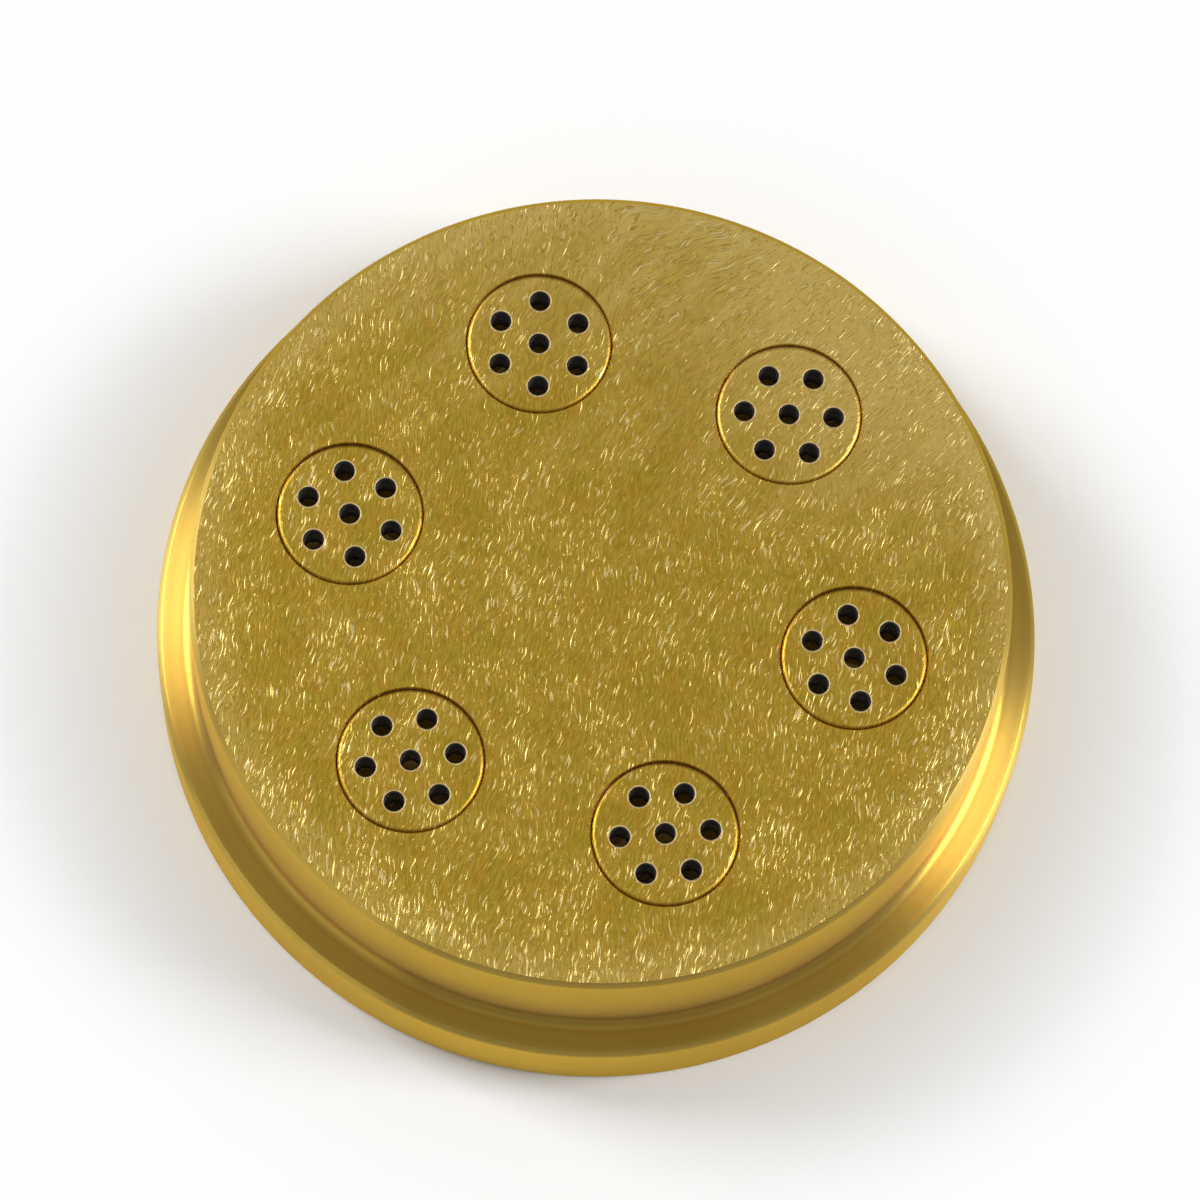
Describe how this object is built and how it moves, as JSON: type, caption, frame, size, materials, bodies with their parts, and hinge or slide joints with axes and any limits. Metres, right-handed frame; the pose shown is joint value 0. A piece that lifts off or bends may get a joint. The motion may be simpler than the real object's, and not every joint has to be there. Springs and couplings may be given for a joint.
{
  "type": "pasta extrusion die",
  "caption": "Round brass pasta extrusion die: turned body with a clamping flange and a ring of drop-in inserts, each drilled with small round holes that shape dough into spaghetti.",
  "frame": {"origin": "centre of the flat back, which the die lies on", "axes": "+Z along the die's axis, from the back to the holed face; +X through the first insert"},
  "size_m": [0.0855, 0.0854, 0.0235],
  "materials": {
    "body_brass": "turned flange and spigot, sanded face with fine scratches",
    "insert_brass": "turned, with a sanded front"
  },
  "bodies": {
    "root": {"die_body": "body_brass", "insert_1": "insert_brass", "insert_2": "insert_brass", "insert_3": "insert_brass", "insert_4": "insert_brass", "insert_5": "insert_brass", "insert_6": "insert_brass"}
  },
  "joints": []
}
